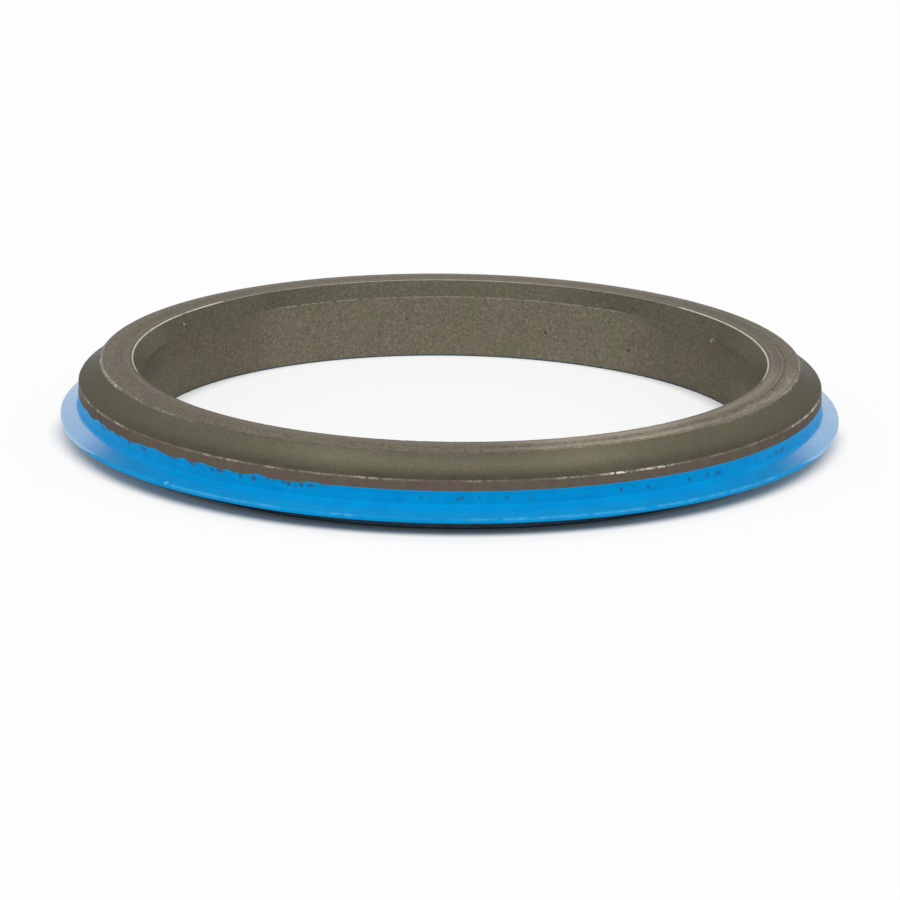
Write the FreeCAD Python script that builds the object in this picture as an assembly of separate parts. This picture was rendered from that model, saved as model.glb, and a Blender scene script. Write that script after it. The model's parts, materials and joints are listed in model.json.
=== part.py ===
"""Sealing ring: a turned steel ring with a blue moulded sealing lip bonded round its outside.

Both pieces are turned about the Z axis. The ring's flat base stands on the plane z = 0,
and the cone side of the ring faces up. All sizes are in millimetres.
"""

import FreeCAD, Part
import math
import os

# Whole ring
OVERALL_DIA = 121.0
BORE_DIA = 95.0
HEIGHT = 12.5

# Bore: a straight wall, a lead-in taper at the top and a small chamfer at the base
LEAD_IN_HEIGHT = 2.5
LEAD_IN_WIDTH = 1.8
BASE_CHAMFER = 0.3

# Outside of the steel: top face, hollow cone, straight rim band and a narrower foot under the lip.
# The inner part of the top face is flat, and from there it falls slightly to the cone's edge.
TOP_FACE_WIDTH = 5.0
TOP_FACE_FLAT_WIDTH = 2.7
TOP_FACE_FALL = 0.2
TOP_INNER_EDGE_BREAK = 0.12
TOP_OUTER_EDGE_ROUND = 0.7
CONE_HOLLOW = 0.3
RIM_DIA = 115.4
RIM_TOP_Z = 8.9
RIM_EDGE_BREAK = 0.2
FOOT_DIA = 105.0

# Seat of the lip: a step turned between the rim band and the foot
SEAT_DIA = 108.0
SEAT_TOP_Z = 7.1
SEAT_BOTTOM_Z = 2.2

# Lip: it fills the step, stands up just inside the rim, and its skirt flares down to a thin edge
LIP_WALL_STEP = 0.05
SKIRT_ROOT_Z = 5.1
SKIRT_ROOT_ROUND = 0.6
SKIRT_EDGE_Z = 3.9
SKIRT_EDGE_THICKNESS = 0.64


def sharp(r, z):
    """A corner of a half section, in the XZ plane, left as it is."""
    return FreeCAD.Vector(r, 0, z), "sharp", 0


def chamfered(r, z, side):
    """A corner cut off straight, at the same distance along both its sides."""
    return FreeCAD.Vector(r, 0, z), "chamfered", side


def rounded(r, z, radius):
    """A corner rounded by an arc that is tangent to both its sides."""
    return FreeCAD.Vector(r, 0, z), "rounded", radius


def passed(r, z):
    """A point that one arc passes on its way from the corner before to the corner after."""
    return FreeCAD.Vector(r, 0, z), "passed", 0


def steel_ring_outline():
    """Corners of the steel ring's half section, up the outside from the base and down the bore."""
    bore_r = BORE_DIA / 2
    top_inner_r = bore_r + LEAD_IN_WIDTH
    top_flat_r = top_inner_r + TOP_FACE_FLAT_WIDTH
    top_outer_r = top_inner_r + TOP_FACE_WIDTH
    top_outer_z = HEIGHT - TOP_FACE_FALL
    rim_r = RIM_DIA / 2
    seat_r = SEAT_DIA / 2
    foot_r = FOOT_DIA / 2
    cone_run = rim_r - top_outer_r
    cone_rise = top_outer_z - RIM_TOP_Z
    cone_length = math.hypot(cone_run, cone_rise)
    hollow_r = (top_outer_r + rim_r) / 2 - CONE_HOLLOW * cone_rise / cone_length
    hollow_z = (top_outer_z + RIM_TOP_Z) / 2 - CONE_HOLLOW * cone_run / cone_length
    return [
        chamfered(foot_r, 0, BASE_CHAMFER),
        sharp(foot_r, SEAT_BOTTOM_Z),
        sharp(seat_r, SEAT_BOTTOM_Z),
        sharp(seat_r, SEAT_TOP_Z),
        sharp(rim_r, SEAT_TOP_Z),
        chamfered(rim_r, RIM_TOP_Z, RIM_EDGE_BREAK),
        passed(hollow_r, hollow_z),
        rounded(top_outer_r, top_outer_z, TOP_OUTER_EDGE_ROUND),
        sharp(top_flat_r, HEIGHT),
        chamfered(top_inner_r, HEIGHT, TOP_INNER_EDGE_BREAK),
        sharp(bore_r, HEIGHT - LEAD_IN_HEIGHT),
        chamfered(bore_r, 0, BASE_CHAMFER),
    ]


def sealing_lip_outline():
    """Corners of the lip's half section: it meets the steel on the step's wall and under the rim."""
    seat_r = SEAT_DIA / 2
    wall_r = RIM_DIA / 2 - LIP_WALL_STEP
    edge_r = OVERALL_DIA / 2
    return [
        sharp(seat_r, SEAT_BOTTOM_Z),
        sharp(edge_r, SKIRT_EDGE_Z - SKIRT_EDGE_THICKNESS),
        sharp(edge_r, SKIRT_EDGE_Z),
        rounded(wall_r, SKIRT_ROOT_Z, SKIRT_ROOT_ROUND),
        sharp(wall_r, SEAT_TOP_Z),
        sharp(seat_r, SEAT_TOP_Z),
    ]


def towards(start, end, distance):
    """The point at a distance from start on the way to end."""
    return start + (end - start).normalize() * distance


def finished_corner(before, corner, after, finish, size):
    """The points where a corner's finish starts, passes and ends: one, two or an arc's three."""
    if finish in ("sharp", "passed"):
        return [corner]
    if finish == "chamfered":
        return [towards(corner, before, size), towards(corner, after, size)]
    half_angle = (before - corner).getAngle(after - corner) / 2
    start = towards(corner, before, size / math.tan(half_angle))
    end = towards(corner, after, size / math.tan(half_angle))
    middle = towards(corner, (start + end) * 0.5, size / math.sin(half_angle) - size)
    return [start, middle, end]


def turned(corners):
    """A solid turned about the Z axis from the closed half section through the corners."""
    count = len(corners)
    stretches = []
    for i, (point, finish, size) in enumerate(corners):
        before = corners[i - 1][0]
        after = corners[(i + 1) % count][0]
        stretches.append(finished_corner(before, point, after, finish, size))
    edges = []
    for i, stretch in enumerate(stretches):
        following = stretches[(i + 1) % count][0]
        if corners[i][1] == "passed":
            edges.append(Part.Arc(stretches[i - 1][-1], stretch[0], following).toShape())
            continue
        if len(stretch) == 3:
            edges.append(Part.Arc(*stretch).toShape())
        elif len(stretch) == 2:
            edges.append(Part.LineSegment(*stretch).toShape())
        if corners[(i + 1) % count][1] != "passed":
            edges.append(Part.LineSegment(stretch[-1], following).toShape())
    section = Part.Face(Part.Wire(edges))
    axis_foot = FreeCAD.Vector(0, 0, 0)
    axis = FreeCAD.Vector(0, 0, 1)
    return section.revolve(axis_foot, axis, 360)


def main():
    os.makedirs("parts", exist_ok=True)
    pieces = {
        "steel_ring": turned(steel_ring_outline()),
        "sealing_lip": turned(sealing_lip_outline()),
    }
    for name, solid in pieces.items():
        solid.exportStep(f"parts/{name}.step")
        print(name, solid.ShapeType, solid.isValid(), round(solid.Volume, 1), "mm3")


main()
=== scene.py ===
"""Looks of the sealing ring: a dark turned steel ring with a bright blue moulded lip round its outside.

Meshes are in metres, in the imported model's frame. Sections, finishes and marks are given in millimetres
and turned into metres where a mesh is made. Angles round the ring are in degrees, anticlockwise from +X,
so the front of the ring is at 270.
"""

import json
import math
from collections import namedtuple

import bpy
import numpy as np
from bpy.props import FloatProperty, FloatVectorProperty, IntProperty, PointerProperty
from mathutils import Matrix, Vector


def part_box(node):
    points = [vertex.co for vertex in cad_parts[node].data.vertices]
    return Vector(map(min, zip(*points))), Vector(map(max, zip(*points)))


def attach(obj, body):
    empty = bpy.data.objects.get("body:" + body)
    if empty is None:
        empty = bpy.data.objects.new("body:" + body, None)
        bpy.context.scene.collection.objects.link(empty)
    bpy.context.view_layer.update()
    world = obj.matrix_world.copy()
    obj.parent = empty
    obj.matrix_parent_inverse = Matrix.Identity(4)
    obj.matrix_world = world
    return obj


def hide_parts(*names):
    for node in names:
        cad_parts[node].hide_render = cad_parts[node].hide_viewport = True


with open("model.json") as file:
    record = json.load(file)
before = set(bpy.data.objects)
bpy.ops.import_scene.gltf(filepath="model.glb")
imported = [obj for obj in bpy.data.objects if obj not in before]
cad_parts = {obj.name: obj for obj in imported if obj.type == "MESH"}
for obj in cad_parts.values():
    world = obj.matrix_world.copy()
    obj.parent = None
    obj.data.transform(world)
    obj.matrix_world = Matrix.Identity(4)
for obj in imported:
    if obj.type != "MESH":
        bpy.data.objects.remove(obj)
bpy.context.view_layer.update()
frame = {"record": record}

bl_info = {
    "name": "Sealing ring",
    "version": (1, 0, 0),
    "blender": (4, 5, 0),
    "location": "3D View > Sidebar > Sealing ring",
    "description": "Builds the steel ring, its blue sealing lip and a plain studio round the packed model",
    "category": "Object",
}

MM = 0.001
PER_METRE = 1000.0
WHITE = (1.0, 1.0, 1.0, 1.0)

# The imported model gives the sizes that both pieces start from, in millimetres
STEEL_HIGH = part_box("steel_ring")[1]
LIP_LOW, LIP_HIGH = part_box("sealing_lip")
MOUNTS = {mount["name"]: mount for mount in frame["record"]["mounts"]}
BORE_RADIUS = MOUNTS["bore"]["dims"]["r_mm"]
HEIGHT = STEEL_HIGH.z * PER_METRE
RIM_RADIUS = STEEL_HIGH.x * PER_METRE
LIP_RADIUS = LIP_HIGH.x * PER_METRE
SEAT_BOTTOM = LIP_LOW.z * PER_METRE
SEAT_TOP = LIP_HIGH.z * PER_METRE


def number(name, description, default, **kind):
    """A number that a user may change."""
    return FloatProperty(name=name, description=description, default=default, **kind)


def size_mm(name, description, default):
    """A size that is kept in millimetres."""
    return number(name, f"{description}, in mm", default)


def length(name, description, default):
    """A length in metres."""
    return number(name, description, default, unit="LENGTH")


def angle(name, description, degrees):
    """An angle, given here in degrees."""
    return number(name, description, math.radians(degrees), unit="ROTATION")


def factor(name, description, default):
    """A share from 0 to 1."""
    return number(name, description, default, subtype="FACTOR", min=0, max=1)


def paint(name, description, *rgb):
    """An opaque colour, as its red, green and blue in linear light."""
    return FloatVectorProperty(
        name=name, description=description, subtype="COLOR", size=4, default=(*rgb, 1))


class RingSizes(bpy.types.PropertyGroup):
    """Sizes of the ring's section that a user may change, in millimetres."""

    lead_in_width: size_mm("Lead-in width", "How much wider the bore is at its top, on the radius", 1.8)
    lead_in_height: size_mm("Lead-in height", "Height of the taper at the top of the bore", 2.5)
    flat_width: size_mm("Flat zone", "Width of the flat inner zone of the top face", 2.7)
    top_width: size_mm("Top face", "Whole width of the top face", 5.0)
    top_fall: size_mm("Top fall", "How much lower the outer edge of the top face is", 0.2)
    rim_height: size_mm("Rim height", "Height of the sharp edge under the cone", 8.9)
    cone_hollow: size_mm("Cone hollow", "How far the middle of the cone lies inside a straight cone", 0.3)
    outer_edge_round: size_mm("Outer edge", "Radius of the rounded edge between top face and cone", 0.7)
    foot_radius: size_mm("Foot radius", "Outer radius of the base that the ring stands on", 52.5)
    seat_radius: size_mm("Seat radius", "Radius of the steel inside the lip", 54.0)
    wall_step: size_mm("Wall step", "How far the lip's upright wall lies inside the rim", 0.05)
    skirt_root: size_mm("Skirt root", "Height where the lip's wall turns into the skirt", 5.1)
    skirt_edge: size_mm("Skirt edge", "Height of the skirt's upper edge", 3.9)
    skirt_thickness: size_mm("Skirt thickness", "Thickness of the skirt at its edge", 0.64)
    film_height: size_mm("Film height", "Height of the upper edge of the blue film on the rim", 7.38)
    film_thickness: size_mm("Film thickness", "Thickness of the blue film on the rim", 0.045)
    steel_angles: IntProperty(
        name="Steel facets", description="Number of facets round the steel ring", default=1200)
    lip_angles: IntProperty(
        name="Lip facets", description="Number of facets round the lip", default=1800)


class SteelFinish(bpy.types.PropertyGroup):
    """Colours and wear of the dark treated steel."""

    olive: paint("Olive skin", "Greenish part of the dark skin", 0.150, 0.141, 0.094)
    brown: paint("Brown skin", "Brownish part of the dark skin", 0.160, 0.137, 0.108)
    band: paint("Rim band", "Reddish brown of the band over the lip", 0.165, 0.114, 0.098)
    # foot: painted shade with a painted blue cast from the lip, for the foot under the lip and for the line
    # at the bore's base
    foot: paint("Foot", "Dark skin of the foot under the lip", 0.058, 0.092, 0.12)
    # bare: metal of the worn edges, which also stands for painted glints on the edges
    bare: paint("Bare steel", "Metal that shows where an edge is worn", 0.74, 0.69, 0.60)
    pit: paint("Pits", "Colour in the pits", 0.02, 0.017, 0.013)
    metal: factor("Metal", "How metallic the dark skin looks", 0.65)
    roughness: factor("Roughness", "Roughness of the dark skin", 0.41)
    shine: factor("Shine", "Specular level of the dark skin", 0.2)
    grazing: factor("Grazing shine", "How bright the dark skin mirrors at a grazing angle", 0.3)


class LipFinish(bpy.types.PropertyGroup):
    """Colours and sheen of the blue lip."""

    blue: paint("Blue", "Main blue of the lip", 0.001, 0.30, 0.66)
    deep_blue: paint("Deep blue", "Slightly darker blue of its patches", 0.002, 0.25, 0.59)
    # pale_blue: the nick, and the pale patches on the skirt's edge, which are partly scuff marks and partly a
    # painted highlight
    pale_blue: paint("Pale blue", "Scuffed blue at the skirt's edge", 0.16, 0.47, 0.75)
    stain: paint("Stain", "Brown that shows through the blue's ragged upper edge", 0.07, 0.062, 0.066)
    speck: paint("Speck", "Dark specks in the wall", 0.02, 0.07, 0.12)
    tint: paint("Reflection tint", "Tint of what the lip mirrors face on", 0.0, 0.45, 1.0)
    roughness: factor("Roughness", "Roughness of the lip", 0.4)
    shine: factor("Shine", "Specular level of the lip's wall", 0.04)
    skirt_gloss: number(
        "Skirt gloss", "Refractive index of the smooth skin on the skirt", 3.4, min=1, max=4)
    skirt_roughness: factor("Skirt roughness", "Roughness of the smooth skin on the skirt", 0.2)


class StageSettings(bpy.types.PropertyGroup):
    """Floor, light and camera."""

    floor_colour: paint("Floor", "Colour of the floor", 0.95, 0.95, 0.95)
    floor_white: factor("Floor white", "Share of plain white in how camera and gloss see the floor", 0.88)
    # The floor under the lip is painted this warmer colour as the hue of its shadow
    shadow_colour: paint("Floor in shadow", "Colour of the floor under the lip", 0.95, 0.90, 0.80)
    shadow_radius: size_mm("Shadow radius", "Radius of the contact shadow at the ring's sides", 60.95)
    shadow_front: size_mm("Shadow in front", "How much smaller the contact shadow is in front", 5.25)
    shadow_soft: size_mm("Shadow softness", "Half the width of the shadow's border at the sides", 2.3)
    shadow_crisp: size_mm("Crisper in front", "How much narrower that half width is in front", 0.8)
    shadow_shift: size_mm("Shadow shift", "How far the contact shadow is moved to the left", 0.25)
    ambient: number("Ambient", "Strength of the surroundings on dull surfaces", 1.0)
    ceiling: number("Ceiling", "Brightness of the dark part of the ceiling, against the white round it", 0.03)
    ceiling_rise: angle("Ceiling rise", "Rise of the dark part's middle, behind the ring", 60)
    ceiling_reach: angle("Ceiling reach", "Angle from the dark part's middle to where it ends", 32)
    ceiling_soft: angle("Ceiling softness", "Width of the dark part's soft border", 8)
    softbox_power: number("Softbox power", "Power of the overhead softbox", 8.0, unit="POWER")
    softbox_width: length("Softbox width", "Size of the softbox across the view", 2.4)
    softbox_depth: length("Softbox depth", "Size of the softbox along the view", 0.5)
    softbox_rise: angle("Softbox rise", "Angle of the softbox above the horizon, in front of the ring", 68)
    softbox_side: angle("Softbox side", "Angle of the softbox round the ring, to the right of the camera", 4)
    softbox_distance: length("Softbox distance", "Distance from the softbox to the ring", 1.6)
    focal_length: number("Focal length", "Focal length for a sensor 36 mm wide", 220.0, unit="CAMERA")
    distance: length("Distance", "Distance from the camera to the ring's base centre", 0.858)
    elevation: angle("Elevation", "Angle of the camera above the floor", 15.736)
    roll: angle("Roll", "How far the camera is rolled clockwise", 0.734)


# A corner of a half section: the radius of its rounding, the rows on that arc and on the side after it
Corner = namedtuple("Corner", "name radius height rounding arc_rows side_rows", defaults=(0, 1, 0))

# Gap between a rounded corner and the nearest row, so that the side beside it shades flat
EDGE_ROW_GAP = 0.04


def unit(vector):
    return vector / np.linalg.norm(vector)


def corner_arc(before, point, after, rounding, rows):
    """Rows of the arc that is tangent to both sides of a corner.

    The arc's points are centre + rounding (cos a, sin a), with a going evenly between the tangent points.
    """
    if rounding == 0:
        return point[None]
    back = unit(before - point)
    ahead = unit(after - point)
    half_angle = math.acos(np.clip(back @ ahead, -1, 1)) / 2
    centre = point + unit(back + ahead) * rounding / math.sin(half_angle)
    start = point + back * rounding / math.tan(half_angle) - centre
    end = point + ahead * rounding / math.tan(half_angle) - centre
    first = math.atan2(start[1], start[0])
    turn = math.remainder(math.atan2(end[1], end[0]) - first, 2 * math.pi)
    angles = first + turn * np.linspace(0, 1, rows)
    return centre + rounding * np.stack([np.cos(angles), np.sin(angles)], axis=1)


def side_rows(start, end, count):
    """Rows inside a straight side: one close to each end, and the rest evenly between them."""
    if count == 0:
        return np.zeros((0, 2))
    gap = EDGE_ROW_GAP / np.linalg.norm(end - start)
    shares = np.linspace(gap, 1 - gap, count)
    return start + shares[:, None] * (end - start)


def section_rows(corners):
    """Rows (radius, height) of a closed half section, and how far along it each row and each corner is."""
    points = np.array([[corner.radius, corner.height] for corner in corners])
    count = len(corners)
    arcs = []
    for i, corner in enumerate(corners):
        after = points[(i + 1) % count]
        arcs.append(corner_arc(points[i - 1], points[i], after, corner.rounding, corner.arc_rows))
    rows = []
    owners = []
    for i, corner in enumerate(corners):
        side = side_rows(arcs[i][-1], arcs[(i + 1) % count][0], corner.side_rows)
        rows += [arcs[i], side]
        owners += [i] * len(arcs[i]) + [-1] * len(side)
    rows = np.concatenate(rows)
    along = np.concatenate([[0], np.cumsum(np.linalg.norm(np.diff(rows, axis=0), axis=1))])
    owners = np.array(owners)
    marks = {corner.name: along[owners == i].mean() for i, corner in enumerate(corners)}
    return rows, along, marks


def inward(rows):
    """Unit normals that point into a section whose rows run anticlockwise."""
    tangent = np.roll(rows, -1, axis=0) - np.roll(rows, 1, axis=0)
    tangent /= np.linalg.norm(tangent, axis=1, keepdims=True)
    return np.stack([-tangent[:, 1], tangent[:, 0]], axis=1)


def ring_angles(count):
    return np.linspace(0, 2 * math.pi, count, endpoint=False)


def turn_between(angles, others):
    """The shortest turn from others to angles, as a table with one row for each of others."""
    return np.mod(angles[None] - others[:, None] + math.pi, 2 * math.pi) - math.pi


def dents(along, angles, radius, places, turns, lengths, widths, depths):
    """Depth of small dents over a turned surface, as a table of rows by angles.

    Each dent is depth exp(-((s - place) / length)^2) exp(-((a - turn) radius / width)^2), and they add up.
    """
    down = depths[:, None] * np.exp(-(((along[None] - places[:, None]) / lengths[:, None]) ** 2))
    across = np.exp(-((turn_between(angles, turns) * radius / widths[:, None]) ** 2))
    return down.T @ across


def lathe(name, radius, height, along):
    """A closed ring whose section may change as it turns.

    The vertex (i, j) is (radius[i, j] cos a[j], radius[i, j] sin a[j], height[i, j]), with a[j] = 2 pi j / n.
    A face joins (i, j), (i, j + 1), (i + 1, j + 1) and (i + 1, j), and both counts wrap round.
    The vertices keep their distance along the section, in millimetres, as the attribute "along".
    """
    rows, count = radius.shape
    angles = ring_angles(count)
    points = np.stack([radius * np.cos(angles), radius * np.sin(angles), height], axis=2) * MM
    i, j = np.meshgrid(np.arange(rows), np.arange(count), indexing="ij")
    i_next = (i + 1) % rows
    j_next = (j + 1) % count
    quads = np.stack([i * count + j, i * count + j_next, i_next * count + j_next, i_next * count + j], axis=2)
    faces = rows * count
    mesh = bpy.data.meshes.new(name)
    mesh.vertices.add(rows * count)
    mesh.vertices.foreach_set("co", points.astype(np.float32).ravel())
    mesh.loops.add(4 * faces)
    mesh.loops.foreach_set("vertex_index", quads.astype(np.int32).ravel())
    mesh.polygons.add(faces)
    mesh.polygons.foreach_set("loop_start", np.arange(faces, dtype=np.int32) * 4)
    mesh.polygons.foreach_set("use_smooth", np.ones(faces, dtype=bool))
    mesh.update(calc_edges=True)
    attribute = mesh.attributes.new("along", "FLOAT", "POINT")
    attribute.data.foreach_set("value", np.repeat(along, count).astype(np.float32))
    mesh.validate()
    piece = bpy.data.objects.new(name, mesh)
    bpy.context.scene.collection.objects.link(piece)
    return piece


# The sockets of a Mix node that take its two colours, and the one that gives their mix
MIX_COLOURS = (6, 7)
MIX_RESULT = 2
# Half the width of an arc's soft ends, in degrees: on worn and glinting edges, in changes of tone, and on the
# lip
EDGE_ARC_SOFT = 1.2
TONE_ARC_SOFT = 7.0
LIP_ARC_SOFT = 1.0


class Graph:
    """Adds nodes to a shader tree. A socket takes a number, a colour or another node's output."""

    def __init__(self, tree):
        self.tree = tree

    def add(self, kind, sockets=None, **settings):
        node = self.tree.nodes.new(kind)
        for name, value in settings.items():
            setattr(node, name, value)
        for name, value in (sockets or {}).items():
            self.put(value, node.inputs[name])
        return node

    def put(self, value, socket):
        if isinstance(value, bpy.types.NodeSocket):
            self.tree.links.new(value, socket)
        else:
            socket.default_value = value

    def math(self, operation, *values, clamp=False):
        node = self.add("ShaderNodeMath", operation=operation, use_clamp=clamp)
        for value, socket in zip(values, node.inputs):
            self.put(value, socket)
        return node.outputs[0]

    def joined(self, operation, values):
        """Values put together by an operation, one after another."""
        result = values[0]
        for value in values[1:]:
            result = self.math(operation, result, value)
        return result

    def product(self, *values):
        return self.joined("MULTIPLY", values)

    def largest(self, *values):
        return self.joined("MAXIMUM", values)

    def vector(self, operation, first, second, output="Vector"):
        node = self.add("ShaderNodeVectorMath", operation=operation)
        self.put(first, node.inputs[0])
        self.put(second, node.inputs[1])
        return node.outputs[output]

    def scaled(self, vector, scale):
        """A vector or colour times a number."""
        sockets = {"Vector": vector, "Scale": scale}
        return self.add("ShaderNodeVectorMath", sockets, operation="SCALE").outputs["Vector"]

    def step(self, value, low, high, out_low=0.0, out_high=1.0):
        """A smooth step from out_low to out_high as the value goes from low to high."""
        sockets = {"Value": value, "From Min": low, "From Max": high, "To Min": out_low, "To Max": out_high}
        return self.add("ShaderNodeMapRange", sockets, interpolation_type="SMOOTHSTEP").outputs["Result"]

    def stretch(self, value, out_low, out_high, low=0.0, high=1.0):
        """A straight, clamped map from low and high to out_low and out_high."""
        sockets = {"Value": value, "From Min": low, "From Max": high, "To Min": out_low, "To Max": out_high}
        return self.add("ShaderNodeMapRange", sockets).outputs["Result"]

    def swing(self, value):
        """A value from 0 to 1 made one from -1 to 1."""
        return self.stretch(value, -1.0, 1.0)

    def blend(self, share, first, second):
        """Two colours mixed by a share."""
        node = self.add("ShaderNodeMix", data_type="RGBA")
        self.put(share, node.inputs[0])
        for colour, socket in zip((first, second), MIX_COLOURS):
            self.put(colour, node.inputs[socket])
        return node.outputs[MIX_RESULT]

    def noise_along(self, value, detail):
        """Noise that changes with one number only."""
        sockets = {"W": value, "Scale": 1.0, "Detail": detail}
        return self.add("ShaderNodeTexNoise", sockets, noise_dimensions="1D").outputs["Fac"]

    def along(self):
        """The distance along the section, in millimetres."""
        return self.add("ShaderNodeAttribute", attribute_name="along").outputs["Fac"]

    def place(self):
        """The point on the piece, in millimetres."""
        return self.scaled(self.add("ShaderNodeTexCoord").outputs["Object"], PER_METRE)

    def coordinates(self):
        """The X, Y and Z of the point on the piece, in millimetres."""
        return self.add("ShaderNodeSeparateXYZ", {"Vector": self.place()}).outputs

    def round_axis(self, coordinates):
        """The angle round the axis, in radians."""
        return self.math("ARCTAN2", coordinates["Y"], coordinates["X"])

    def effect(self, name, **sockets):
        """What a shared effect gives for the values of its inputs."""
        return self.add("ShaderNodeGroup", sockets, node_tree=bpy.data.node_groups[name]).outputs[0]

    def mottle(self, size, detail, contrast, shift):
        return self.effect("mottle", Size=size, Detail=detail, Contrast=contrast, Shift=shift)

    def line(self, along, distance, width, cover, patch, softness=0.15):
        """A broken line round the ring, at a distance along the section."""
        return self.effect(
            "edge_wear", Distance=along, Edge=distance,
            Width=width, Cover=cover, Patch=patch, Softness=softness)

    def arc(self, start, end, share=1.0, soft=EDGE_ARC_SOFT):
        """A share on an arc between two angles, and 0 beyond it."""
        return self.product(self.effect("arc", Start=start, End=end, Soft=soft), share)

    def arcs(self, spans, soft=EDGE_ARC_SOFT):
        return self.largest(*[self.arc(*span, soft=soft) for span in spans])

    def surface(self, sockets):
        """One Principled shader as the material's surface."""
        shader = self.add("ShaderNodeBsdfPrincipled", sockets)
        self.add("ShaderNodeOutputMaterial", {"Surface": shader.outputs["BSDF"]})


# How far lathe marks wander, in pitches, and how strong they are from patch to patch
WANDER = 0.6
MARK_STRENGTH = (0.8, 2.2)
# The share of its half width over which a line round the ring is full
FULL_LINE = 0.25
# Specks: how much the height is shrunk in their cells, which makes them upright, the smallest share of
# their size, and the share that is solid
SPECK_SHRINK = 0.8
LEAST_SPECK = 0.6
SPECK_CORE = 0.2
# Notches: the noise between which they deepen, and the heights over their bottom between which they show
NOTCH_NOISE = {"low": 0.5, "high": 0.72}
NOTCH_BORDER = (-0.15, 0.2)
# Spots: the size of the noise that shifts their outline, and the shares of their radius where they fade
SPOT_NOISE = 0.35
SPOT_BORDER = (1.15, 0.7)


def mottle(graph, given):
    """Soft cloudy patches: noise of a given size in millimetres, spread about its middle by a contrast."""
    shifted = graph.vector("ADD", graph.place(), given["Shift"])
    scale = graph.math("DIVIDE", 1.0, given["Size"])
    sockets = {"Vector": shifted, "Scale": scale, "Detail": given["Detail"]}
    noise = graph.add("ShaderNodeTexNoise", sockets).outputs["Fac"]
    return graph.math("MULTIPLY_ADD", graph.math("SUBTRACT", noise, 0.5), given["Contrast"], 0.5, clamp=True)


def turning_marks(graph, given):
    """Fine lathe marks: noise along the distance, which wanders a little and fades in and out in patches."""
    drift = graph.mottle(given["Patch"], detail=1.0, contrast=1.0, shift=40.0)
    across = graph.math("DIVIDE", given["Distance"], given["Pitch"])
    marks = graph.noise_along(graph.math("MULTIPLY_ADD", drift, WANDER, across), detail=2.0)
    patches = graph.mottle(given["Patch"], detail=2.0, contrast=2.0, shift=7.0)
    strength = graph.stretch(patches, *MARK_STRENGTH)
    return graph.math("MULTIPLY_ADD", graph.math("SUBTRACT", marks, 0.5), strength, 0.5, clamp=True)


def edge_wear(graph, given):
    """A broken line along an edge: 1 at the edge, falling to 0 at a width on both sides, and broken up by
    fine noise. It draws worn edges, painted glints and painted shade lines.
    """
    off = graph.math("ABSOLUTE", graph.math("SUBTRACT", given["Distance"], given["Edge"]))
    near = graph.step(graph.math("DIVIDE", off, given["Width"]), 1.0, FULL_LINE)
    noise = graph.mottle(given["Patch"], detail=4.0, contrast=2.2, shift=19.0)
    least = graph.math("SUBTRACT", 1.0, given["Cover"])
    low = graph.math("SUBTRACT", least, given["Softness"])
    high = graph.math("ADD", least, given["Softness"])
    return graph.product(near, graph.step(noise, low, high))


def arc(graph, given):
    """1 on an arc round the axis between two angles in degrees, with soft ends."""
    turn = graph.product(graph.round_axis(graph.coordinates()), math.degrees(1))
    middle = graph.product(graph.math("ADD", given["Start"], given["End"]), 0.5)
    half = graph.product(graph.math("SUBTRACT", given["End"], given["Start"]), 0.5)
    off = graph.math("ABSOLUTE", graph.math("WRAP", graph.math("SUBTRACT", turn, middle), 180.0, -180.0))
    outer = graph.math("ADD", half, given["Soft"])
    inner = graph.math("SUBTRACT", half, given["Soft"])
    return graph.step(off, outer, inner)


def dashes(graph, given):
    """Upright specks round a wall: cells in arc length and shrunk height, a share of them filled."""
    place = graph.coordinates()
    length_round = graph.product(graph.round_axis(place), given["Radius"])
    shrunk = graph.product(place["Z"], SPECK_SHRINK)
    point = graph.add("ShaderNodeCombineXYZ", {"X": length_round, "Y": shrunk}).outputs["Vector"]
    sockets = {"Vector": point, "Scale": graph.math("DIVIDE", 1.0, given["Spacing"])}
    cells = graph.add("ShaderNodeTexVoronoi", sockets, voronoi_dimensions="2D").outputs
    drawn = graph.add("ShaderNodeSeparateColor", {"Color": cells["Color"]}).outputs
    size = graph.product(given["Size"], graph.stretch(drawn[1], LEAST_SPECK, 1.0))
    inside = graph.step(cells["Distance"], size, graph.product(size, SPECK_CORE))
    return graph.product(inside, graph.math("LESS_THAN", drawn[0], given["Share"]))


def ragged(graph, given):
    """Ragged stain under an edge: 1 above a level that drops by up to a depth, by noise round the ring."""
    place = graph.coordinates()
    length_round = graph.product(graph.round_axis(place), given["Radius"])
    noise = graph.noise_along(graph.math("DIVIDE", length_round, given["Pitch"]), detail=3.0)
    drop = graph.product(graph.stretch(noise, 0.0, 1.0, **NOTCH_NOISE), given["Depth"])
    above = graph.math("SUBTRACT", place["Z"], graph.math("SUBTRACT", given["Level"], drop))
    return graph.step(above, *NOTCH_BORDER)


def spot(graph, given):
    """One ragged spot about a point: 1 within a radius of it, with an outline that noise shifts."""
    away = graph.vector("DISTANCE", graph.place(), given["Place"], output="Value")
    noise = graph.mottle(SPOT_NOISE, detail=2.0, contrast=1.0, shift=3.0)
    share = graph.math("ADD", graph.math("DIVIDE", away, given["Radius"]), graph.math("SUBTRACT", noise, 0.5))
    return graph.step(share, *SPOT_BORDER)


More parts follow.
